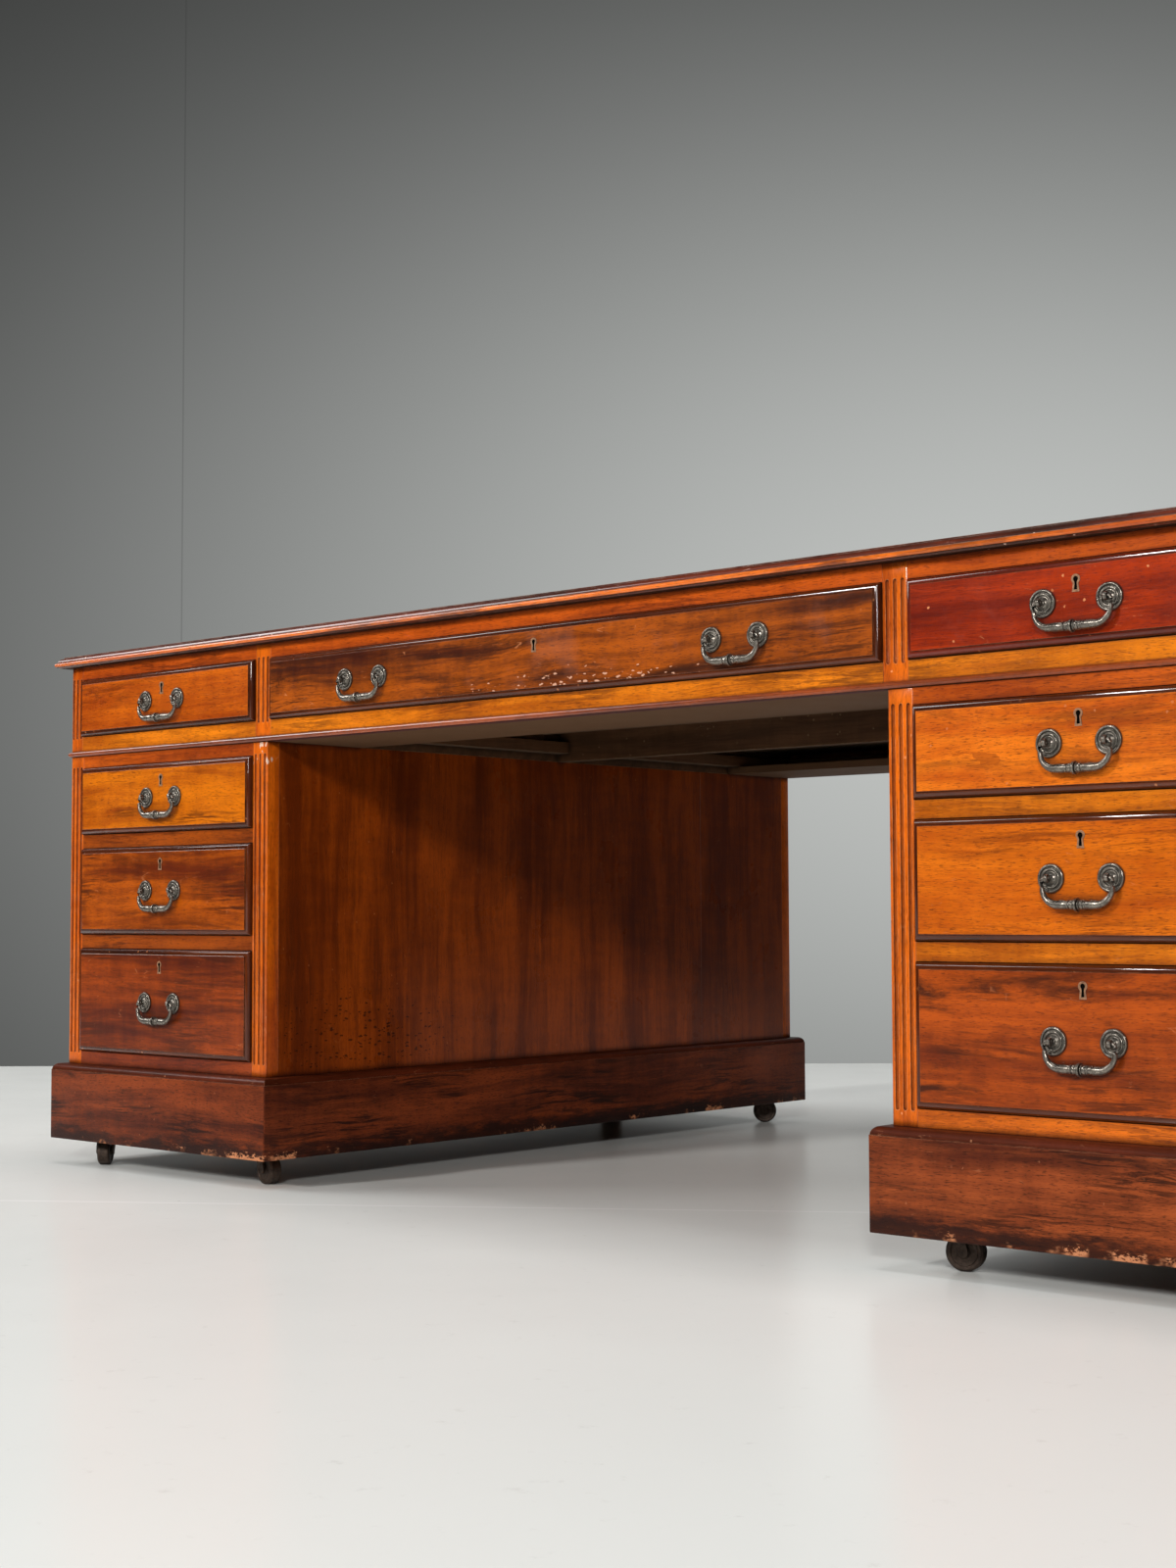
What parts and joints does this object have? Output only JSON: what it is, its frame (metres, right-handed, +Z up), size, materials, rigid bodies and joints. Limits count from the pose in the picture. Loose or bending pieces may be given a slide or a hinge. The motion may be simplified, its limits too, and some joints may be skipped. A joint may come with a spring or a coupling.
{
  "type": "partners desk",
  "caption": "Two-sided pedestal writing desk: leather-lined top over a frieze of drawers, pedestals with drawers in front and cupboards behind, bail handles, plinths on hidden casters.",
  "frame": {"origin": "on the floor under the middle of the desk", "axes": "+X to the right of someone facing the drawer side, +Y towards the cupboard side, +Z up"},
  "size_m": [2.048, 1.2936, 0.79],
  "materials": {
    "mahogany_top": "old polish, worn",
    "mahogany_moulding": "old polish, rubbed on the edges",
    "mahogany_side": "old polish, dull",
    "mahogany_frame": "old polish, worn",
    "mahogany_stile": "old polish, worn",
    "mahogany_drawer": "old polish, scratched",
    "mahogany_door": "old polish",
    "mahogany_plinth": "old polish, scuffed",
    "inner_wood": "bare, aged",
    "leather": "tooled hide, worn",
    "handle_metal": "darkened with age",
    "hinge_brass": "dull",
    "caster_iron": "dark, slightly rusted"
  },
  "bodies": {
    "desk_body": {"top_board": "mahogany_top", "top_edge_moulding": "mahogany_moulding", "writing_leather": "leather", "frieze_end_panels": "mahogany_side", "frieze_rails": "mahogany_frame", "frieze_fluted_stiles": "mahogany_stile", "frieze_partitions": "inner_wood", "frieze_bead_moulding": "mahogany_moulding", "drawer_runners": "inner_wood", "pedestal_side_panels": "mahogany_side", "pedestal_fluted_stiles": "mahogany_stile", "pedestal_rails": "mahogany_frame", "pedestal_inner_boards": "inner_wood", "plinths": "mahogany_plinth", "caster_plates": "caster_iron", "door_hinge_leaves": "hinge_brass"},
    "drawer_frieze_left": {"drawer_frieze_left": "mahogany_drawer"},
    "bail_frieze_left": {"bail_frieze_left": "handle_metal"},
    "drawer_frieze_right": {"drawer_frieze_right": "mahogany_drawer"},
    "bail_frieze_right": {"bail_frieze_right": "handle_metal"},
    "drawer_frieze_centre": {"drawer_frieze_centre": "mahogany_drawer"},
    "bail_frieze_centre_left": {"bail_frieze_centre_left": "handle_metal"},
    "bail_frieze_centre_right": {"bail_frieze_centre_right": "handle_metal"},
    "drawer_rear_frieze_left": {"drawer_rear_frieze_left": "mahogany_drawer"},
    "bail_rear_frieze_left": {"bail_rear_frieze_left": "handle_metal"},
    "drawer_rear_frieze_right": {"drawer_rear_frieze_right": "mahogany_drawer"},
    "bail_rear_frieze_right": {"bail_rear_frieze_right": "handle_metal"},
    "drawer_rear_frieze_centre": {"drawer_rear_frieze_centre": "mahogany_drawer"},
    "bail_rear_frieze_centre_left": {"bail_rear_frieze_centre_left": "handle_metal"},
    "bail_rear_frieze_centre_right": {"bail_rear_frieze_centre_right": "handle_metal"},
    "drawer_left_lower": {"drawer_left_lower": "mahogany_drawer"},
    "bail_left_lower": {"bail_left_lower": "handle_metal"},
    "drawer_left_middle": {"drawer_left_middle": "mahogany_drawer"},
    "bail_left_middle": {"bail_left_middle": "handle_metal"},
    "drawer_left_upper": {"drawer_left_upper": "mahogany_drawer"},
    "bail_left_upper": {"bail_left_upper": "handle_metal"},
    "drawer_right_lower": {"drawer_right_lower": "mahogany_drawer"},
    "bail_right_lower": {"bail_right_lower": "handle_metal"},
    "drawer_right_middle": {"drawer_right_middle": "mahogany_drawer"},
    "bail_right_middle": {"bail_right_middle": "handle_metal"},
    "drawer_right_upper": {"drawer_right_upper": "mahogany_drawer"},
    "bail_right_upper": {"bail_right_upper": "handle_metal"},
    "door_left": {"door_left": "mahogany_door"},
    "door_right": {"door_right": "mahogany_door"},
    "caster_fork_left_outer_front": {"caster_fork_left_outer_front": "caster_iron"},
    "caster_wheel_left_outer_front": {"caster_wheel_left_outer_front": "caster_iron"},
    "caster_fork_left_inner_front": {"caster_fork_left_inner_front": "caster_iron"},
    "caster_wheel_left_inner_front": {"caster_wheel_left_inner_front": "caster_iron"},
    "caster_fork_left_outer_rear": {"caster_fork_left_outer_rear": "caster_iron"},
    "caster_wheel_left_outer_rear": {"caster_wheel_left_outer_rear": "caster_iron"},
    "caster_fork_left_inner_rear": {"caster_fork_left_inner_rear": "caster_iron"},
    "caster_wheel_left_inner_rear": {"caster_wheel_left_inner_rear": "caster_iron"},
    "caster_fork_right_inner_front": {"caster_fork_right_inner_front": "caster_iron"},
    "caster_wheel_right_inner_front": {"caster_wheel_right_inner_front": "caster_iron"},
    "caster_fork_right_outer_front": {"caster_fork_right_outer_front": "caster_iron"},
    "caster_wheel_right_outer_front": {"caster_wheel_right_outer_front": "caster_iron"},
    "caster_fork_right_inner_rear": {"caster_fork_right_inner_rear": "caster_iron"},
    "caster_wheel_right_inner_rear": {"caster_wheel_right_inner_rear": "caster_iron"},
    "caster_fork_right_outer_rear": {"caster_fork_right_outer_rear": "caster_iron"},
    "caster_wheel_right_outer_rear": {"caster_wheel_right_outer_rear": "caster_iron"}
  },
  "joints": [
    {"name": "drawer_frieze_left_slide", "type": "slide", "parent": "desk_body", "child": "drawer_frieze_left", "axis": [0, -1, 0], "range_m": [0, 0.42]},
    {"name": "bail_frieze_left_hinge", "type": "hinge", "parent": "drawer_frieze_left", "child": "bail_frieze_left", "pos_m": [-0.7656, -0.639, 0.70775], "axis": [-1, 0, 0], "range_deg": [-1, 180]},
    {"name": "drawer_frieze_right_slide", "type": "slide", "parent": "desk_body", "child": "drawer_frieze_right", "axis": [0, -1, 0], "range_m": [0, 0.42]},
    {"name": "bail_frieze_right_hinge", "type": "hinge", "parent": "drawer_frieze_right", "child": "bail_frieze_right", "pos_m": [0.7656, -0.639, 0.70775], "axis": [-1, 0, 0], "range_deg": [-1, 180]},
    {"name": "drawer_frieze_centre_slide", "type": "slide", "parent": "desk_body", "child": "drawer_frieze_centre", "axis": [0, -1, 0], "range_m": [0, 0.42]},
    {"name": "bail_frieze_centre_left_hinge", "type": "hinge", "parent": "drawer_frieze_centre", "child": "bail_frieze_centre_left", "pos_m": [-0.321, -0.639, 0.70775], "axis": [-1, 0, 0], "range_deg": [-1, 180]},
    {"name": "bail_frieze_centre_right_hinge", "type": "hinge", "parent": "drawer_frieze_centre", "child": "bail_frieze_centre_right", "pos_m": [0.321, -0.639, 0.70775], "axis": [-1, 0, 0], "range_deg": [-1, 180]},
    {"name": "drawer_rear_frieze_left_slide", "type": "slide", "parent": "desk_body", "child": "drawer_rear_frieze_left", "axis": [0, 1, 0], "range_m": [0, 0.42]},
    {"name": "bail_rear_frieze_left_hinge", "type": "hinge", "parent": "drawer_rear_frieze_left", "child": "bail_rear_frieze_left", "pos_m": [-0.7656, 0.639, 0.70775], "axis": [1, 0, 0], "range_deg": [-1, 180]},
    {"name": "drawer_rear_frieze_right_slide", "type": "slide", "parent": "desk_body", "child": "drawer_rear_frieze_right", "axis": [0, 1, 0], "range_m": [0, 0.42]},
    {"name": "bail_rear_frieze_right_hinge", "type": "hinge", "parent": "drawer_rear_frieze_right", "child": "bail_rear_frieze_right", "pos_m": [0.7656, 0.639, 0.70775], "axis": [1, 0, 0], "range_deg": [-1, 180]},
    {"name": "drawer_rear_frieze_centre_slide", "type": "slide", "parent": "desk_body", "child": "drawer_rear_frieze_centre", "axis": [0, 1, 0], "range_m": [0, 0.42]},
    {"name": "bail_rear_frieze_centre_left_hinge", "type": "hinge", "parent": "drawer_rear_frieze_centre", "child": "bail_rear_frieze_centre_left", "pos_m": [-0.321, 0.639, 0.70775], "axis": [1, 0, 0], "range_deg": [-1, 180]},
    {"name": "bail_rear_frieze_centre_right_hinge", "type": "hinge", "parent": "drawer_rear_frieze_centre", "child": "bail_rear_frieze_centre_right", "pos_m": [0.321, 0.639, 0.70775], "axis": [1, 0, 0], "range_deg": [-1, 180]},
    {"name": "drawer_left_lower_slide", "type": "slide", "parent": "desk_body", "child": "drawer_left_lower", "axis": [0, -1, 0], "range_m": [0, 0.42]},
    {"name": "bail_left_lower_hinge", "type": "hinge", "parent": "drawer_left_lower", "child": "bail_left_lower", "pos_m": [-0.766, -0.639, 0.25455], "axis": [-1, 0, 0], "range_deg": [-1, 180]},
    {"name": "drawer_left_middle_slide", "type": "slide", "parent": "desk_body", "child": "drawer_left_middle", "axis": [0, -1, 0], "range_m": [0, 0.42]},
    {"name": "bail_left_middle_hinge", "type": "hinge", "parent": "drawer_left_middle", "child": "bail_left_middle", "pos_m": [-0.766, -0.639, 0.42175], "axis": [-1, 0, 0], "range_deg": [-1, 180]},
    {"name": "drawer_left_upper_slide", "type": "slide", "parent": "desk_body", "child": "drawer_left_upper", "axis": [0, -1, 0], "range_m": [0, 0.42]},
    {"name": "bail_left_upper_hinge", "type": "hinge", "parent": "drawer_left_upper", "child": "bail_left_upper", "pos_m": [-0.766, -0.639, 0.5616], "axis": [-1, 0, 0], "range_deg": [-1, 180]},
    {"name": "drawer_right_lower_slide", "type": "slide", "parent": "desk_body", "child": "drawer_right_lower", "axis": [0, -1, 0], "range_m": [0, 0.42]},
    {"name": "bail_right_lower_hinge", "type": "hinge", "parent": "drawer_right_lower", "child": "bail_right_lower", "pos_m": [0.766, -0.639, 0.25455], "axis": [-1, 0, 0], "range_deg": [-1, 180]},
    {"name": "drawer_right_middle_slide", "type": "slide", "parent": "desk_body", "child": "drawer_right_middle", "axis": [0, -1, 0], "range_m": [0, 0.42]},
    {"name": "bail_right_middle_hinge", "type": "hinge", "parent": "drawer_right_middle", "child": "bail_right_middle", "pos_m": [0.766, -0.639, 0.42175], "axis": [-1, 0, 0], "range_deg": [-1, 180]},
    {"name": "drawer_right_upper_slide", "type": "slide", "parent": "desk_body", "child": "drawer_right_upper", "axis": [0, -1, 0], "range_m": [0, 0.42]},
    {"name": "bail_right_upper_hinge", "type": "hinge", "parent": "drawer_right_upper", "child": "bail_right_upper", "pos_m": [0.766, -0.639, 0.5616], "axis": [-1, 0, 0], "range_deg": [-1, 180]},
    {"name": "door_left_hinge", "type": "hinge", "parent": "desk_body", "child": "door_left", "pos_m": [-0.9705, 0.6265, 0.3944], "axis": [0, 0, 1], "range_deg": [0, 175]},
    {"name": "door_right_hinge", "type": "hinge", "parent": "desk_body", "child": "door_right", "pos_m": [0.9705, 0.6265, 0.3944], "axis": [0, 0, -1], "range_deg": [0, 175]},
    {"name": "caster_swivel_left_outer_front", "type": "hinge", "parent": "desk_body", "child": "caster_fork_left_outer_front", "pos_m": [-0.9535, -0.584, 0.05], "axis": [0, 0, 1], "continuous": true},
    {"name": "caster_roll_left_outer_front", "type": "hinge", "parent": "caster_fork_left_outer_front", "child": "caster_wheel_left_outer_front", "pos_m": [-0.94346, -0.59515, 0.021], "axis": [-0.7431, -0.6691, 0], "continuous": true},
    {"name": "caster_swivel_left_inner_front", "type": "hinge", "parent": "desk_body", "child": "caster_fork_left_inner_front", "pos_m": [-0.5785, -0.584, 0.05], "axis": [0, 0, 1], "continuous": true},
    {"name": "caster_roll_left_inner_front", "type": "hinge", "parent": "caster_fork_left_inner_front", "child": "caster_wheel_left_inner_front", "pos_m": [-0.56365, -0.58609, 0.021], "axis": [-0.1392, -0.9903, 0], "continuous": true},
    {"name": "caster_swivel_left_outer_rear", "type": "hinge", "parent": "desk_body", "child": "caster_fork_left_outer_rear", "pos_m": [-0.9535, 0.584, 0.05], "axis": [0, 0, 1], "continuous": true},
    {"name": "caster_roll_left_outer_rear", "type": "hinge", "parent": "caster_fork_left_outer_rear", "child": "caster_wheel_left_outer_rear", "pos_m": [-0.9399, 0.59034, 0.021], "axis": [0.4226, -0.9063, 0], "continuous": true},
    {"name": "caster_swivel_left_inner_rear", "type": "hinge", "parent": "desk_body", "child": "caster_fork_left_inner_rear", "pos_m": [-0.5785, 0.584, 0.05], "axis": [0, 0, 1], "continuous": true},
    {"name": "caster_roll_left_inner_rear", "type": "hinge", "parent": "caster_fork_left_inner_rear", "child": "caster_wheel_left_inner_rear", "pos_m": [-0.56652, 0.59303, 0.021], "axis": [0.6018, -0.7986, 0], "continuous": true},
    {"name": "caster_swivel_right_inner_front", "type": "hinge", "parent": "desk_body", "child": "caster_fork_right_inner_front", "pos_m": [0.5785, -0.584, 0.05], "axis": [0, 0, 1], "continuous": true},
    {"name": "caster_roll_right_inner_front", "type": "hinge", "parent": "caster_fork_right_inner_front", "child": "caster_wheel_right_inner_front", "pos_m": [0.59299, -0.58012, 0.021], "axis": [0.2588, -0.9659, 0], "continuous": true},
    {"name": "caster_swivel_right_outer_front", "type": "hinge", "parent": "desk_body", "child": "caster_fork_right_outer_front", "pos_m": [0.9535, -0.584, 0.05], "axis": [0, 0, 1], "continuous": true},
    {"name": "caster_roll_right_outer_front", "type": "hinge", "parent": "caster_fork_right_outer_front", "child": "caster_wheel_right_outer_front", "pos_m": [0.96759, -0.58913, 0.021], "axis": [-0.342, -0.9397, 0], "continuous": true},
    {"name": "caster_swivel_right_inner_rear", "type": "hinge", "parent": "desk_body", "child": "caster_fork_right_inner_rear", "pos_m": [0.5785, 0.584, 0.05], "axis": [0, 0, 1], "continuous": true},
    {"name": "caster_roll_right_inner_rear", "type": "hinge", "parent": "caster_fork_right_inner_rear", "child": "caster_wheel_right_inner_rear", "pos_m": [0.58412, 0.59791, 0.021], "axis": [0.9272, -0.3746, 0], "continuous": true},
    {"name": "caster_swivel_right_outer_rear", "type": "hinge", "parent": "desk_body", "child": "caster_fork_right_outer_rear", "pos_m": [0.9535, 0.584, 0.05], "axis": [0, 0, 1], "continuous": true},
    {"name": "caster_roll_right_outer_rear", "type": "hinge", "parent": "caster_fork_right_outer_rear", "child": "caster_wheel_right_outer_rear", "pos_m": [0.95507, 0.56908, 0.021], "axis": [-0.9945, -0.1045, 0], "continuous": true}
  ]
}
